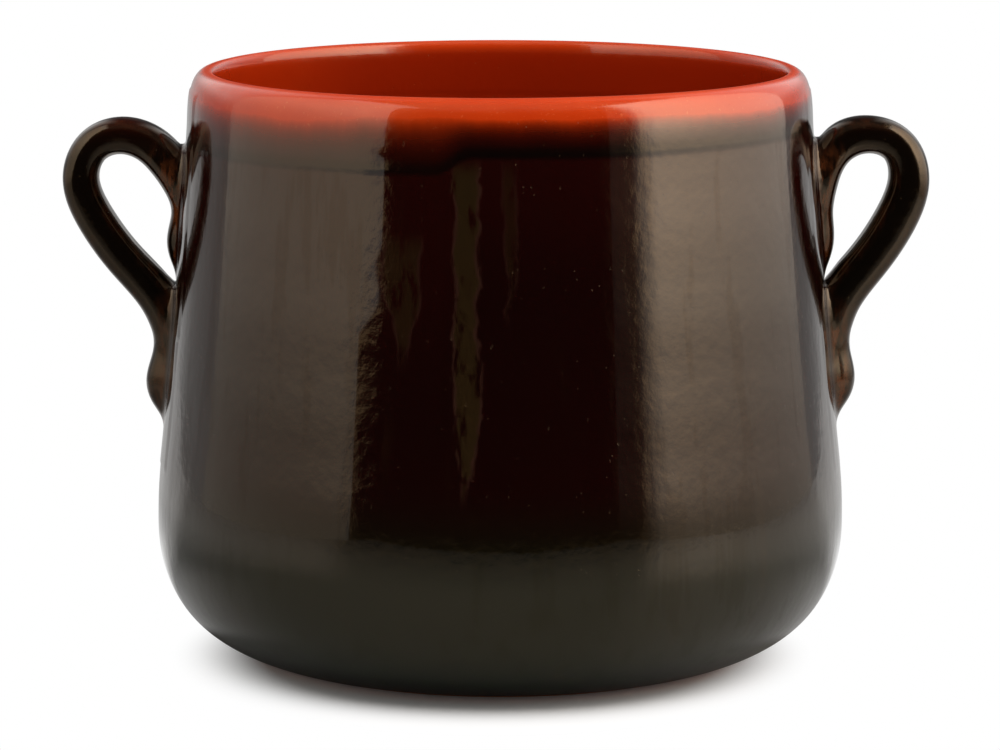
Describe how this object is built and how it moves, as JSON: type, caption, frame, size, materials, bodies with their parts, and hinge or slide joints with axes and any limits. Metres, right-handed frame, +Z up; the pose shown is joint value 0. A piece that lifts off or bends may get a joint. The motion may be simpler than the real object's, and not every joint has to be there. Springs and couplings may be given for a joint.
{
  "type": "ceramic pot",
  "caption": "Wide-bellied glazed earthenware cooking pot, open at the rim, with looped ear handles pressed onto its shoulder",
  "frame": {"origin": "on the pot's axis, at the underside of its foot", "axes": "+Z up the pot's axis; +X through the middle of the ears, the pot's longest extent; -Y towards the camera of the picture"},
  "size_m": [0.3356, 0.2673, 0.2275],
  "materials": {
    "glazed_earthenware": "high-gloss dark brown glaze, thinning to orange-red terracotta under clear glaze at the rim and inside"
  },
  "bodies": {
    "root": {"pot": "glazed_earthenware"}
  },
  "joints": []
}
